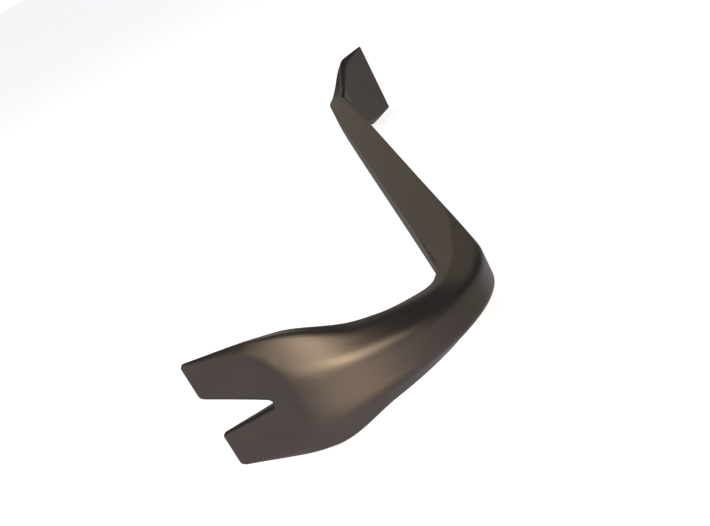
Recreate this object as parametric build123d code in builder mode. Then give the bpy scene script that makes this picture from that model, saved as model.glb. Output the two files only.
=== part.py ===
from build123d import *
from bisect import bisect_right
from math import radians, sin, tan
import os

# A pry bar forged in one piece from a steel bar: a wide thin claw with a nail slot on a curved arm, a
# straight shaft, and a flared chisel blade bent the other way.
# It lies on its side: X runs along the shaft, Y is in the plane of the bends with the claw on the +Y
# side, and Z is across the width. Millimetres and degrees.

# Centreline, from the claw's tip to the blade's edge
claw_length = 33.2
arm_radius, arm_turn = 68.4, 49.7
heel_radius, heel_turn = 31, 65.9
shaft_length = 300.3
toe_radius, toe_turn = 25.4, 42.7
blade_length = 38.3

# Widths, across the bends
claw_tip_width = 47
claw_waist_width = 50.4
claw_width = 51.7
arm_width = 35
wrist_width = 23.4
heel_width = 17.3
stock_width = 19.8
toe_width = 17.2
blade_width = 49.4
blade_edge_width = 47.4

# Thicknesses, in the plane of the bends
tip_thickness = 0.9
claw_thickness = 4.1
shoulder_thickness = 11.6
arm_thickness = 16.1
heel_thickness = 18.6
stock_thickness = 16.3
flare_thickness = 12.6
toe_thickness = 10.4
blade_thickness = 4.9

# Crest: the flat of the outer face, between the sloping flanks
claw_crest = 43.2
shoulder_crest = 19.6
arm_crest = 14.5
wrist_crest = 12.4
stock_crest = 18.2
toe_crest = 15
blade_crest = 42.7
tip_bevel = 0.2

# Nail slot
slot_depth = 27.6
slot_angle = 28
slot_end_radius = 1.8
mouth_radius = 1.8

# Where each stretch starts, measured along the centreline from the claw's tip
heel_start = claw_length + radians(arm_turn) * arm_radius
shaft_start = heel_start + radians(heel_turn) * heel_radius
toe_start = shaft_start + shaft_length
blade_start = toe_start + radians(toe_turn) * toe_radius
bar_length = blade_start + blade_length

claw_waist = 0.81 * claw_length
claw_shoulder = claw_length + 7
arm_middle = claw_length + 0.585 * (heel_start - claw_length)
heel_middle = (heel_start + shaft_start) / 2
shaft_drawn_down = shaft_start + 0.13 * shaft_length
shaft_flare = toe_start - 0.11 * shaft_length
toe_middle = (toe_start + blade_start) / 2
blade_shoulder = bar_length - 0.593 * blade_length

# Profiles: size against distance from the claw's tip
width_profile = [
    (0, claw_tip_width),
    (claw_waist, claw_waist_width),
    (claw_shoulder, claw_width),
    (arm_middle, arm_width),
    (heel_start, wrist_width),
    (heel_middle, heel_width),
    (shaft_drawn_down, stock_width),
    (shaft_flare, stock_width),
    (toe_middle, toe_width),
    (blade_shoulder, blade_width),
    (bar_length, blade_edge_width),
]
thickness_profile = [
    (0, tip_thickness),
    (claw_waist, claw_thickness),
    (claw_shoulder, shoulder_thickness),
    (arm_middle, arm_thickness),
    (heel_middle, heel_thickness),
    (shaft_drawn_down, stock_thickness),
    (shaft_flare, flare_thickness),
    (toe_middle, toe_thickness),
    (blade_shoulder, blade_thickness),
    (bar_length, tip_thickness),
]
crest_profile = [
    (0, claw_tip_width - 2 * tip_bevel),
    (claw_waist, claw_crest),
    (claw_shoulder, shoulder_crest),
    (arm_middle, arm_crest),
    (heel_start, wrist_crest),
    (shaft_drawn_down, stock_crest),
    (shaft_flare, stock_crest),
    (toe_middle, toe_crest),
    (blade_shoulder, blade_crest),
    (bar_length, blade_edge_width - 2 * tip_bevel),
]

# The inner face's width, as a share of the full width
inner_share_profile = [
    (0, 0.99),
    (claw_waist, 0.96),
    (claw_shoulder, 0.82),
    (arm_middle, 0.7),
    (heel_start, 0.74),
    (heel_middle, 0.8),
    (shaft_drawn_down, 1),
    (shaft_flare, 1),
    (toe_middle, 0.87),
    (blade_shoulder, 0.89),
    (bar_length, 0.99),
]

# The height of the widest line above the inner face, as a share of the thickness
side_share_profile = [
    (0, 0.5),
    (claw_waist, 0.55),
    (claw_shoulder, 0.52),
    (heel_start, 0.6),
    (heel_middle, 0.36),
    (shaft_drawn_down, 0.93),
    (shaft_flare, 0.93),
    (toe_middle, 0.85),
    (blade_shoulder, 0.5),
    (bar_length, 0.5),
]

# Rounding of the crest's two edges, of the widest line and of the inner face's edges
crest_rounding_profile = [
    (0, 0.15),
    (claw_waist, 3),
    (claw_shoulder, 14),
    (arm_middle, 12),
    (heel_start, 6),
    (shaft_drawn_down, 0.8),
    (toe_middle, 1.2),
    (blade_shoulder, 1.2),
    (bar_length, 0.15),
]
side_rounding_profile = [
    (0, 0.1),
    (claw_waist, 0.8),
    (claw_shoulder, 2.4),
    (arm_middle, 5),
    (heel_middle, 4),
    (shaft_drawn_down, 0.8),
    (toe_middle, 1),
    (blade_shoulder, 0.6),
    (bar_length, 0.1),
]
inner_rounding_profile = [
    (0, 0.1),
    (claw_waist, 0.7),
    (claw_shoulder, 1.9),
    (heel_middle, 3.3),
    (shaft_drawn_down, 0.8),
    (toe_middle, 2),
    (blade_shoulder, 1),
    (bar_length, 0.1),
]


def fair(profile, distance):
    """Value at a distance, on a smooth curve through the profile's points that never overshoots."""
    places, values = zip(*profile)
    spans = list(zip(places, places[1:], values, values[1:]))
    slopes = [(after - before) / (end - start) for start, end, before, after in spans]
    joins = [2 * a * b / (a + b) if a * b > 0 else 0 for a, b in zip(slopes, slopes[1:])]
    tangents = [slopes[0], *joins, slopes[-1]]
    i = min(max(bisect_right(places, distance) - 1, 0), len(spans) - 1)
    start, end, before, after = spans[i]
    t = (distance - start) / (end - start)
    pull_before = t * (1 - t) ** 2 * tangents[i]
    pull_after = t**2 * (t - 1) * tangents[i + 1]
    blend = (1 + 2 * t) * (1 - t) ** 2 * before + t**2 * (3 - 2 * t) * after
    return blend + (end - start) * (pull_before + pull_after)


def slices(start, end, spacing):
    """Even distances from start up to, but without, end."""
    count = max(1, round((end - start) / spacing))
    return [start + (end - start) * k / count for k in range(count)]


# Centreline in the plane of the bends, drawn from the claw's tip
claw_heading = 360 - arm_turn - heel_turn
with BuildLine() as centreline:
    claw_run = PolarLine((0, 0), claw_length, claw_heading)
    arm_bend = JernArc(claw_run @ 1, claw_run % 1, arm_radius, arm_turn)
    heel_bend = JernArc(arm_bend @ 1, arm_bend % 1, heel_radius, heel_turn)
    shaft_run = Line(heel_bend @ 1, (heel_bend @ 1) + (shaft_length, 0))
    toe_bend = JernArc(shaft_run @ 1, (1, 0), toe_radius, -toe_turn)
    blade_run = PolarLine(toe_bend @ 1, blade_length, -toe_turn)
spine = centreline.wire()

stations = [
    *slices(0, claw_length, 5),
    *slices(claw_length, heel_start, 5),
    *slices(heel_start, shaft_start, 4),
    *slices(shaft_start, shaft_drawn_down, 8),
    *slices(shaft_drawn_down, shaft_flare, 60),
    *slices(shaft_flare, toe_start, 8),
    *slices(toe_start, blade_start, 3),
    *slices(blade_start, bar_length, 4),
    bar_length,
]

with BuildPart() as forging:
    # The blank, drawn out and flared: one slice across the bar at each station.
    # In a slice, X is across the width and +Y faces the outside of the claw's bend.
    for station in stations:
        width = fair(width_profile, station)
        crest = fair(crest_profile, station)
        thickness = fair(thickness_profile, station)
        inner = fair(inner_share_profile, station) * width
        side = fair(side_share_profile, station) * thickness
        crest_rounding = fair(crest_rounding_profile, station)
        side_rounding = fair(side_rounding_profile, station)
        inner_rounding = fair(inner_rounding_profile, station)
        across = Plane(spine.location_at(station, PositionMode.LENGTH, x_dir=(0, 0, 1)))
        with BuildSketch(across):
            with BuildLine():
                FilletPolyline(
                    (-inner / 2, -thickness / 2),
                    (inner / 2, -thickness / 2),
                    (width / 2, side - thickness / 2),
                    (crest / 2, thickness / 2),
                    (-crest / 2, thickness / 2),
                    (-width / 2, side - thickness / 2),
                    radius=[*[inner_rounding] * 2, side_rounding, *[crest_rounding] * 2, side_rounding],
                    close=True,
                )
            make_face()
    loft()

    # The nail slot, cut square to the claw's outer face: X runs into the claw from its tip
    tip = Plane(spine.location_at(0, PositionMode.LENGTH, x_dir=(0, 0, 1)))
    slot_end = slot_depth - slot_end_radius + slot_end_radius / sin(radians(slot_angle / 2))
    slot_mouth = slot_end * tan(radians(slot_angle / 2))
    land = (slot_mouth + claw_tip_width / 2) / 2
    with BuildSketch(Plane(tip.origin, x_dir=tip.z_dir, z_dir=tip.y_dir)):
        with BuildLine():
            FilletPolyline(
                (-mouth_radius, -land),
                (0, -land),
                (0, -slot_mouth),
                (slot_end, 0),
                (0, slot_mouth),
                (0, land),
                (-mouth_radius, land),
                radius=[0, 0, mouth_radius, slot_end_radius, mouth_radius, 0, 0],
                close=True,
            )
        make_face()
    extrude(amount=claw_width / 2, both=True, mode=Mode.SUBTRACT)

# The finished bar, with its origin under the middle of its box, on the surface that it lies on
blank_box = forging.part.bounding_box()
lift = (-blank_box.center().X, -blank_box.center().Y, -blank_box.min.Z)
with BuildPart() as forged_bar:
    with Locations(lift):
        add(forging.part)
forged_bar.part.label = "forged_bar"

os.makedirs("parts", exist_ok=True)
export_step(forged_bar.part, "parts/forged_bar.step")
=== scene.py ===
from math import cos, pi, radians, sin, sqrt, tan

import bmesh
import bpy
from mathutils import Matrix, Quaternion, Vector


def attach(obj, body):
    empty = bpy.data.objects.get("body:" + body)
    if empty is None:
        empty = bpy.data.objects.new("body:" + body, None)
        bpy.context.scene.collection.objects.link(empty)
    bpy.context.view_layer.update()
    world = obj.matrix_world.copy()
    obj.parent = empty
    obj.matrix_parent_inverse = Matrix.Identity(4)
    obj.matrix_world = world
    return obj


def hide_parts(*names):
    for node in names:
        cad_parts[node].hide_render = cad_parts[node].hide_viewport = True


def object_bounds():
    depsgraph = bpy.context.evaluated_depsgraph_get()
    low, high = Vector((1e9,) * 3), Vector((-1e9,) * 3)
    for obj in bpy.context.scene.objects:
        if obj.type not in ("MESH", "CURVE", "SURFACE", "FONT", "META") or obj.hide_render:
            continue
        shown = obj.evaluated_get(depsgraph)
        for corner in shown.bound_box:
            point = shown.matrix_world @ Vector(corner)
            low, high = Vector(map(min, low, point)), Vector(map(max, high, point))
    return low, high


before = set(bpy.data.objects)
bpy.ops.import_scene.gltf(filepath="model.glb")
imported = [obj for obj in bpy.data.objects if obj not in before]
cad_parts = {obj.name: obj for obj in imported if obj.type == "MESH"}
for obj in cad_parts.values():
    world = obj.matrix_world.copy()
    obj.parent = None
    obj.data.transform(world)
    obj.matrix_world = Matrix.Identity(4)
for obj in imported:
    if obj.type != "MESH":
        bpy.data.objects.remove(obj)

cad_low, cad_high = [Vector(corner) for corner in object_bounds()]

# ---------------------------------------------------------------------------------------------
# The forging. One piece of medium-carbon steel bar, drawn down along the shaft, flared and
# thinned at both ends under the hammer, bent at the heel and the toe, and slotted for nails.
# It is one closed mesh: rows of points across the bar, joined along its centreline.
# ---------------------------------------------------------------------------------------------
MM = 0.001

# Centreline, from the claw's tip to the blade's edge, in millimetres and degrees
claw_length = 33.2
arm_radius, arm_turn = 68.4, 49.7
heel_radius, heel_turn = 31, 65.9
shaft_length = 300.3
toe_radius, toe_turn = 25.4, 42.7
blade_length = 38.3

arm_start = claw_length
heel_start = arm_start + radians(arm_turn) * arm_radius
shaft_start = heel_start + radians(heel_turn) * heel_radius
toe_start = shaft_start + shaft_length
blade_start = toe_start + radians(toe_turn) * toe_radius
bar_length = blade_start + blade_length

claw_waist = 0.81 * claw_length
claw_shoulder = claw_length + 7
arm_middle = claw_length + 0.585 * (heel_start - claw_length)
heel_middle = (heel_start + shaft_start) / 2
shaft_drawn_down = shaft_start + 0.13 * shaft_length
shaft_flare = toe_start - 0.11 * shaft_length
toe_middle = (toe_start + blade_start) / 2
blade_shoulder = bar_length - 0.593 * blade_length

# Each profile gives a size of the cross-section against the distance from the claw's tip.
width_profile = [
    (0, 47), (claw_waist, 50.4), (claw_shoulder, 51.7), (arm_middle, 35), (heel_start, 23.4),
    (heel_middle, 17.3), (shaft_drawn_down, 19.8), (shaft_flare, 19.8), (toe_middle, 17.2),
    (blade_shoulder, 49.4), (bar_length, 47.4),
]
thickness_profile = [
    (0, 0.9), (claw_waist, 4.1), (claw_shoulder, 11.6), (arm_middle, 16.1), (heel_middle, 18.6),
    (shaft_drawn_down, 16.3), (shaft_flare, 12.6), (toe_middle, 10.4), (blade_shoulder, 4.9),
    (bar_length, 0.9),
]
crest_profile = [
    (0, 46.6), (claw_waist, 43.2), (claw_shoulder, 19.6), (arm_middle, 14.5), (heel_start, 12.4),
    (shaft_drawn_down, 18.2), (shaft_flare, 18.2), (toe_middle, 15), (blade_shoulder, 42.7),
    (bar_length, 47),
]
inner_share_profile = [
    (0, 0.99), (claw_waist, 0.96), (claw_shoulder, 0.82), (arm_middle, 0.7), (heel_start, 0.74),
    (heel_middle, 0.8), (shaft_drawn_down, 1), (shaft_flare, 1), (toe_middle, 0.87),
    (blade_shoulder, 0.89), (bar_length, 0.99),
]
side_share_profile = [
    (0, 0.5), (claw_waist, 0.55), (claw_shoulder, 0.52), (heel_start, 0.6), (heel_middle, 0.36),
    (shaft_drawn_down, 0.93), (shaft_flare, 0.93), (toe_middle, 0.85), (blade_shoulder, 0.5),
    (bar_length, 0.5),
]
crest_rounding_profile = [
    (0, 0.15), (claw_waist, 22), (claw_shoulder, 32), (arm_middle, 13), (heel_start, 6),
    (shaft_drawn_down, 0.8), (toe_middle, 2), (blade_shoulder, 5), (bar_length, 0.15),
]
side_rounding_profile = [
    (0, 0.1), (claw_waist, 0.8), (claw_shoulder, 2.4), (arm_middle, 5), (heel_middle, 4),
    (shaft_drawn_down, 0.8), (toe_middle, 1), (blade_shoulder, 0.6), (bar_length, 0.1),
]
inner_rounding_profile = [
    (0, 0.1), (claw_waist, 0.7), (claw_shoulder, 1.9), (heel_middle, 3.3), (shaft_drawn_down, 0.8),
    (toe_middle, 2), (blade_shoulder, 1), (bar_length, 0.1),
]

# The nail slot, the corners and edges rounded off by the grinder, and how far the grinding reaches
slot_depth = 27.6
slot_angle = 28
slot_end_radius = 1.8
mouth_radius = 1.8
claw_corner_radius = 2.2
blade_corner_radius = 1.1
edge_break = 0.3
ground_reach = 1.6


def fair(profile, distance):
    """Value at a distance, on a smooth curve through the profile's points that never overshoots."""
    places, values = zip(*profile)
    spans = list(zip(places, places[1:], values, values[1:]))
    slopes = [(after - before) / (end - start) for start, end, before, after in spans]
    joins = [2 * a * b / (a + b) if a * b > 0 else 0 for a, b in zip(slopes, slopes[1:])]
    tangents = [slopes[0], *joins, slopes[-1]]
    i = max([k for k, place in enumerate(places[:-1]) if place <= distance], default=0)
    start, end, before, after = spans[i]
    t = (distance - start) / (end - start)
    pull = t * (1 - t) ** 2 * tangents[i] + t**2 * (t - 1) * tangents[i + 1]
    blend = (1 + 2 * t) * (1 - t) ** 2 * before + t**2 * (3 - 2 * t) * after
    return blend + (end - start) * pull


runs = [
    (claw_length, 0),
    (heel_start - arm_start, arm_turn),
    (shaft_start - heel_start, heel_turn),
    (shaft_length, 0),
    (blade_start - toe_start, -toe_turn),
    (blade_length, 0),
]


def along_bar(distance):
    """Point on the centreline, in the plane of the bends, and the heading there in radians."""
    point, heading = Vector((0, 0)), radians(-arm_turn - heel_turn)
    for length, turn in runs:
        step = min(distance, length)
        bend = radians(turn) * step / length
        if turn:
            radius = length / radians(turn)
            end = heading + bend
            point += radius * Vector((sin(end) - sin(heading), cos(heading) - cos(end)))
        else:
            point += step * Vector((cos(heading), sin(heading)))
        heading += bend
        distance -= step
        if distance <= 0:
            break
    return point, heading


def round_inset(distance, radius):
    """How far a quarter-round of that radius stands in from its side, at a distance from its end."""
    short = radius - min(max(distance, 0), radius)
    return radius - sqrt(radius**2 - short**2)


def rounded_corner(before, corner, after, radius, steps):
    """Points round a corner, from one tangent point to the other, as a soft quadratic curve."""
    back, forth = before - corner, after - corner
    turn = pi - back.angle(forth)
    reach = min(radius * tan(turn / 2), 0.48 * back.length, 0.48 * forth.length)
    start, end = corner + reach * back.normalized(), corner + reach * forth.normalized()
    ratios = [k / steps for k in range(steps + 1)]
    return [(1 - t) ** 2 * start + 2 * t * (1 - t) * corner + t**2 * end for t in ratios]


slot_end = slot_depth - slot_end_radius + slot_end_radius / sin(radians(slot_angle / 2))
slot_slope = tan(radians(slot_angle / 2))
slot_round_start = slot_depth - slot_end_radius * (1 - sin(radians(slot_angle / 2)))


def slot_half_width(distance):
    """Half the nail slot's width at a distance from the claw's tip, with its end rounded."""
    if distance >= slot_depth:
        return 0
    if distance > slot_round_start:
        from_centre = distance - (slot_depth - slot_end_radius)
        return sqrt(slot_end_radius**2 - from_centre**2)
    mouth = round_inset(distance, mouth_radius)
    return (slot_end - distance) * slot_slope + mouth


# Points across each part of half a section, from the outer face's middle to the inner face's
FLAT_STEPS, RIDGE_STEPS, FLANK_STEPS, SIDE_STEPS, INNER_STEPS = 10, 8, 3, 8, 6


def spread(start, end, steps):
    """Points evenly spaced strictly between two points."""
    return [start.lerp(end, k / (steps + 1)) for k in range(1, steps + 1)]


def half_section(distance):
    """Half of the cross-section: (across, outward) points from the outer face to the inner face."""
    inset = round_inset(distance, claw_corner_radius)
    inset += round_inset(bar_length - distance, blade_corner_radius)
    end_round = round_inset(min(distance, bar_length - distance), edge_break)
    half_width = fair(width_profile, distance) / 2 - inset
    half_crest = fair(crest_profile, distance) / 2 - inset
    half_thick = fair(thickness_profile, distance) / 2
    side = (2 * fair(side_share_profile, distance) - 1) * half_thick
    half_inner = fair(inner_share_profile, distance) * half_width
    crest_rounding = fair(crest_rounding_profile, distance)
    side_rounding = fair(side_rounding_profile, distance)
    inner_rounding = fair(inner_rounding_profile, distance)
    slot = slot_half_width(distance)

    inner = Vector((half_inner, -half_thick))
    side_top = Vector((half_width, side))
    ridge = Vector((half_crest, half_thick))
    top, under = Vector((slot, half_thick)), Vector((slot, -half_thick))

    ridge_arc = rounded_corner(top, ridge, side_top, crest_rounding, RIDGE_STEPS)
    side_arc = rounded_corner(ridge, side_top, inner, side_rounding, SIDE_STEPS)
    inner_arc = rounded_corner(side_top, inner, under, inner_rounding, INNER_STEPS)
    points = [
        Vector((slot, half_thick)),
        *spread(top, ridge_arc[0], FLAT_STEPS),
        *ridge_arc,
        *spread(ridge_arc[-1], side_arc[0], FLANK_STEPS),
        *side_arc,
        *spread(side_arc[-1], inner_arc[0], FLANK_STEPS),
        *inner_arc,
        *spread(inner_arc[-1], under, FLAT_STEPS),
        Vector((slot, -half_thick)),
    ]
    squeeze = (half_thick - end_round) / half_thick
    return [Vector((p.x, p.y * squeeze)) for p in points]


def stops(start, end, spacing):
    """Even distances from start up to, but without, end."""
    count = max(1, round((end - start) / spacing))
    return [start + (end - start) * k / count for k in range(count)]


def round_stops(radius, steps):
    """Distances from an end that step evenly round a quarter circle of that radius."""
    return [radius * (1 - cos(pi / 2 * k / steps)) for k in range(steps)]


# Rows along the bar, in millimetres apart, closest where the shape changes fastest
slot_stops = [slot_depth - d for d in round_stops(slot_depth - slot_round_start, 6)]
rows = sorted({round(d, 4) for d in [
    *round_stops(claw_corner_radius, 8),
    *stops(claw_corner_radius, slot_round_start, 1.5),
    *slot_stops,
    *stops(slot_depth + 0.8, heel_start, 1.5),
    *stops(heel_start, shaft_start, 1.2),
    *stops(shaft_start, shaft_drawn_down, 3),
    *stops(shaft_drawn_down, shaft_flare, 6),
    *stops(shaft_flare, toe_start, 3),
    *stops(toe_start, blade_start, 1),
    *stops(blade_start, bar_length - blade_corner_radius, 1.5),
    *[bar_length - d for d in round_stops(blade_corner_radius, 6)],
    bar_length - blade_corner_radius,
]})

vertices, faces = [], []


def add_row(distance, mirror):
    """One row of points across the bar's half, and the numbers they have in the mesh."""
    point, heading = along_bar(distance)
    outward = Vector((sin(heading), -cos(heading)))
    numbers = []
    for across, out in half_section(distance):
        place = point + out * outward
        vertices.append((place.x, place.y, mirror * across))
        numbers.append(len(vertices) - 1)
    return numbers


for mirror in (1, -1):
    grid = [add_row(distance, mirror) for distance in rows]
    for (start, row), (end, following) in zip(zip(rows, grid), zip(rows[1:], grid[1:])):
        quads = [(row[k], row[k + 1], following[k + 1], following[k]) for k in range(len(row) - 1)]
        if start < slot_depth:
            quads.append((row[-1], row[0], following[0], following[-1]))
        faces += [quad[::mirror] for quad in quads]
    for row, flip in ((grid[0], -mirror), (grid[-1], mirror)):
        half = len(row) // 2
        cap = [(row[k], row[k + 1], row[-k - 2], row[-k - 1]) for k in range(half - 1)]
        faces += [quad[::flip] for quad in cap]

SAME_POINT = 0.01 * MM
mesh = bpy.data.meshes.new("forging")
mesh.from_pydata([Vector(v) * MM for v in vertices], [], faces)
forging = bpy.data.objects.new("forging", mesh)
bpy.context.scene.collection.objects.link(forging)

work = bmesh.new()
work.from_mesh(mesh)
bmesh.ops.remove_doubles(work, verts=work.verts, dist=SAME_POINT)
bmesh.ops.recalc_face_normals(work, faces=work.faces)
work.to_mesh(mesh)
work.free()
mesh.shade_smooth()

# How much of its oxide the steel has lost: most at the two ground ends, fading out behind them
OXIDE_LOST = 0.8
edge_points = [along_bar(distance)[0] * MM for distance in (0, bar_length)]
ground_edge = mesh.attributes.new("ground_edge", "FLOAT", "POINT")
for vertex, value in zip(mesh.vertices, ground_edge.data):
    gap = min((vertex.co.xy - point).length for point in edge_points)
    value.value = max(0, 1 - gap / (ground_reach * MM)) ** 2 * OXIDE_LOST

low = Vector([min(v.co[k] for v in mesh.vertices) for k in range(3)])
high = Vector([max(v.co[k] for v in mesh.vertices) for k in range(3)])
middle = (cad_low + cad_high) / 2
forging.location = middle - (low + high) / 2
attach(forging, "root")
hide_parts("forged_bar")


def linear(colour):
    """A hex sRGB colour as linear red, green, blue and alpha."""
    channels = [int(colour[k:k + 2], 16) / 255 for k in (1, 3, 5)]
    return [c / 12.92 if c <= 0.04045 else ((c + 0.055) / 1.055) ** 2.4 for c in channels] + [1]


def add_node(tree, kind, links=(), **settings):
    """Adds a node, sets its values and properties, and links (socket, output) pairs into it."""
    node = tree.nodes.new(kind)
    for name, value in settings.items():
        if name in node.inputs:
            node.inputs[name].default_value = value
        else:
            setattr(node, name, value)
    for socket, output in links:
        tree.links.new(output, node.inputs[socket])
    return node


# Medium-carbon steel, shot-blasted after forging and then blackened in hot oil. The oxide is a thin
# brown-black skin: a metal's tinted satin reflection, a little uneven in tone and in gloss, over the
# fine orange-peel grain that the shot leaves. The ground edges have lost some of it and are paler.
CLOUD_SIZE = 22 * MM
CLOUD_LOW, CLOUD_HIGH = 0.3, 0.7
SMOOTHEST, ROUGHEST = 0.36, 0.4
GRAIN_SIZE = 1.1 * MM        # real blast grain is about 0.3 mm, drawn coarser so that it shows
GRAIN_DEPTH = 0.02 * MM
steel = bpy.data.materials.new("black_oxide_steel")
steel.use_nodes = True
tree = steel.node_tree
shader = tree.nodes["Principled BSDF"]
shader.inputs["Metallic"].default_value = 1
place = add_node(tree, "ShaderNodeTexCoord").outputs["Object"]
clouds = add_node(tree, "ShaderNodeTexNoise", links=[("Vector", place)],
                  Scale=1 / CLOUD_SIZE, Detail=3, Roughness=0.55)
grain = add_node(tree, "ShaderNodeTexNoise", links=[("Vector", place)],
                 Scale=1 / GRAIN_SIZE, Detail=2, Roughness=0.5)
tone = add_node(tree, "ShaderNodeMapRange", links=[("Value", clouds.outputs["Fac"])])
tone.inputs["From Min"].default_value = CLOUD_LOW
tone.inputs["From Max"].default_value = CLOUD_HIGH
oxide = add_node(tree, "ShaderNodeMix", links=[(0, tone.outputs[0])], data_type="RGBA")
oxide.inputs[6].default_value = linear("#58524b")
oxide.inputs[7].default_value = linear("#5f5851")
worn = add_node(tree, "ShaderNodeAttribute", attribute_name="ground_edge")
skin = add_node(tree, "ShaderNodeMix", data_type="RGBA",
                links=[(0, worn.outputs["Fac"]), (6, oxide.outputs[2])])
skin.inputs[7].default_value = linear("#7d766d")
gloss = add_node(tree, "ShaderNodeMapRange", links=[("Value", clouds.outputs["Fac"])])
gloss.inputs["From Min"].default_value = CLOUD_LOW
gloss.inputs["From Max"].default_value = CLOUD_HIGH
gloss.inputs["To Min"].default_value = SMOOTHEST
gloss.inputs["To Max"].default_value = ROUGHEST
peel = add_node(tree, "ShaderNodeBump", links=[("Height", grain.outputs["Fac"])],
                Distance=GRAIN_DEPTH)
tree.links.new(skin.outputs[2], shader.inputs["Base Color"])
tree.links.new(gloss.outputs[0], shader.inputs["Roughness"])
tree.links.new(peel.outputs["Normal"], shader.inputs["Normal"])
mesh.materials.append(steel)

# ---------------------------------------------------------------------------------------------
# The table. A large matt white sheet of acrylic that is lit from below, so that almost no shadow
# falls on it. It doesn't show in the steel, which reflects the room instead.
# ---------------------------------------------------------------------------------------------
TABLE_HALF_WIDTH = 20
edge = TABLE_HALF_WIDTH
table_mesh = bpy.data.meshes.new("table")
corners = [(-edge, -edge, 0), (edge, -edge, 0), (edge, edge, 0), (-edge, edge, 0)]
table_mesh.from_pydata(corners, [], [(0, 1, 2, 3)])
table = bpy.data.objects.new("table", table_mesh)
bpy.context.scene.collection.objects.link(table)
acrylic = bpy.data.materials.new("white_acrylic")
acrylic.use_nodes = True
acrylic_shader = acrylic.node_tree.nodes["Principled BSDF"]
acrylic_shader.inputs["Base Color"].default_value = linear("#f6f6f5")
acrylic_shader.inputs["Roughness"].default_value = 0.9
acrylic_shader.inputs["Emission Color"].default_value = (1, 1, 1, 1)
acrylic_shader.inputs["Emission Strength"].default_value = 0.72
table_mesh.materials.append(acrylic)
table.visible_glossy = False

# ---------------------------------------------------------------------------------------------
# The backdrop. A white paper dome far behind everything, lit from its own side, which is there
# to be looked at and neither lights the bar nor shows in it.
# ---------------------------------------------------------------------------------------------
BACKDROP_RADIUS = 19
backdrop_mesh = bpy.data.meshes.new("backdrop")
work = bmesh.new()
bmesh.ops.create_uvsphere(work, u_segments=64, v_segments=32, radius=BACKDROP_RADIUS)
work.to_mesh(backdrop_mesh)
work.free()
backdrop = bpy.data.objects.new("backdrop", backdrop_mesh)
bpy.context.scene.collection.objects.link(backdrop)
paper = bpy.data.materials.new("white_paper")
paper.use_nodes = True
paper_shader = paper.node_tree.nodes["Principled BSDF"]
paper_shader.inputs["Base Color"].default_value = linear("#f6f6f5")
paper_shader.inputs["Roughness"].default_value = 1
paper_shader.inputs["Emission Color"].default_value = (1, 1, 1, 1)
paper_shader.inputs["Emission Strength"].default_value = 0.9
backdrop_mesh.materials.append(paper)
backdrop.visible_diffuse = False
backdrop.visible_glossy = False
backdrop.visible_shadow = False


def direction(azimuth, elevation):
    """Unit vector towards an azimuth from +X and an elevation, in degrees."""
    flat = cos(radians(elevation))
    return Vector((
        flat * cos(radians(azimuth)), flat * sin(radians(azimuth)), sin(radians(elevation)),
    ))


# ---------------------------------------------------------------------------------------------
# The room and its lights. A dim studio with a pale glow low down on the claw's side, a wide warm
# softbox over the viewer's shoulder with its bright lamp head, and a smaller one overhead.
# ---------------------------------------------------------------------------------------------
def add_glow(tree, below, colour, azimuth, elevation, inner_angle, outer_angle):
    """Lays a soft round patch of another colour over the room, seen in one direction."""
    toward = add_node(tree, "ShaderNodeVectorMath", links=[(0, view_direction)],
                      operation="DOT_PRODUCT")
    toward.inputs[1].default_value = direction(azimuth, elevation)
    share = add_node(tree, "ShaderNodeMapRange", links=[(0, toward.outputs["Value"])],
                     interpolation_type="SMOOTHSTEP")
    share.inputs["From Min"].default_value = cos(radians(outer_angle))
    share.inputs["From Max"].default_value = cos(radians(inner_angle))
    layer = add_node(tree, "ShaderNodeMix", links=[(0, share.outputs[0]), (6, below)],
                     data_type="RGBA")
    layer.inputs[7].default_value = (*colour, 1)
    return layer.outputs[2]


# The room's walls, in linear light, and the elevations between which the low turns to the high
LOW_WALL_GLOW, HIGH_WALL_GLOW = (0.66, 0.63, 0.70, 1), (0.17, 0.178, 0.21, 1)
LOW_WALL_TOP, HIGH_WALL_FOOT = -20, 12
# Patches on them: linear light, azimuth, elevation, and the angles where each starts and stops fading
glow_patches = [
    ((0.54, 0.51, 0.51), -94, -16, 18, 46),    # beside the blade's outer face
    ((2.1, 1.8, 1.58), 160, -33, 4, 35),       # low down on the claw's side
    ((0.3, 0.268, 0.232), 5, 2, 28, 52),       # beyond the blade's end
    ((0.5, 0.44, 0.38), 8, 35, 6, 30),         # above it
]
room = bpy.data.worlds.new("room")
room.use_nodes = True
tree = room.node_tree
view_direction = add_node(tree, "ShaderNodeTexCoord").outputs["Generated"]
height = add_node(tree, "ShaderNodeSeparateXYZ", links=[(0, view_direction)])
up = add_node(tree, "ShaderNodeMapRange", links=[(0, height.outputs["Z"])],
              interpolation_type="SMOOTHSTEP")
up.inputs["From Min"].default_value = sin(radians(LOW_WALL_TOP))
up.inputs["From Max"].default_value = sin(radians(HIGH_WALL_FOOT))
walls = add_node(tree, "ShaderNodeMix", links=[(0, up.outputs[0])], data_type="RGBA")
walls.inputs[6].default_value = LOW_WALL_GLOW
walls.inputs[7].default_value = HIGH_WALL_GLOW
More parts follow.
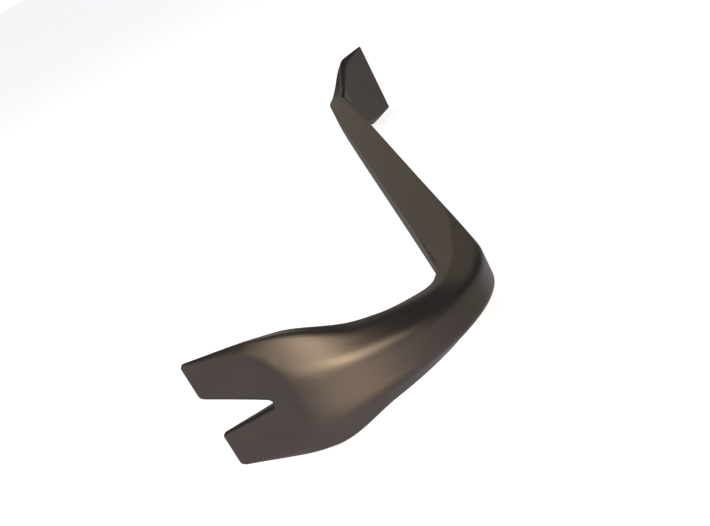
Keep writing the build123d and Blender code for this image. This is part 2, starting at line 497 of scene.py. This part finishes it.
glow = walls.outputs[2]
for patch in glow_patches:
    glow = add_glow(tree, glow, *patch)
tree.links.new(glow, tree.nodes["Background"].inputs["Color"])
bpy.context.scene.world = room
bpy.context.scene.view_settings.view_transform = "Standard"

lit_point = middle + Vector((-190, 15, 5)) * MM


def add_light(name, azimuth, elevation, roll, distance, width, height, radiance, colour):
    """A soft rectangular light that faces the claw's shoulder, as bright as its radiance says."""
    data = bpy.data.lights.new(name, "AREA")
    data.shape = "RECTANGLE"
    data.size, data.size_y = width, height
    data.energy = radiance * pi * width * height
    data.color = linear(colour)[:3]
    light = bpy.data.objects.new(name, data)
    toward = direction(azimuth, elevation)
    light.location = lit_point + distance * toward
    light.rotation_mode = "QUATERNION"
    turn = Quaternion((0, 0, 1), radians(roll))
    light.rotation_quaternion = toward.to_track_quat("Z", "Y") @ turn
    bpy.context.scene.collection.objects.link(light)


add_light("softbox", 163, 15, 20, 1.3, 1.8, 0.5, 4.8, "#fff1dc")
add_light("lamp_head", 165, 12.5, 22, 1.2, 0.34, 0.2, 15, "#ffedd2")
add_light("overhead_softbox", 30, 65, 0, 1.2, 0.8, 0.8, 1.8, "#ffffff")

# ---------------------------------------------------------------------------------------------
# The camera. It stands close behind the claw, a little above it, and looks along the shaft to
# the blade, tilted over to one side.
# ---------------------------------------------------------------------------------------------
camera_distance = 425 * MM
camera_azimuth, camera_elevation, camera_roll = -179.17, 21.59, -28.01
camera_lens, camera_sensor = 51.13, 36
aim = middle + Vector((-97.4, -1.35, 0)) * MM

toward_camera = direction(camera_azimuth, camera_elevation)
camera_data = bpy.data.cameras.new("camera")
camera_data.sensor_width = camera_sensor
camera_data.lens = camera_lens
camera = bpy.data.objects.new("camera", camera_data)
camera.location = aim + camera_distance * toward_camera
camera.rotation_mode = "QUATERNION"
roll = Quaternion((0, 0, 1), radians(camera_roll))
camera.rotation_quaternion = toward_camera.to_track_quat("Z", "Y") @ roll
bpy.context.scene.collection.objects.link(camera)
bpy.context.scene.camera = camera
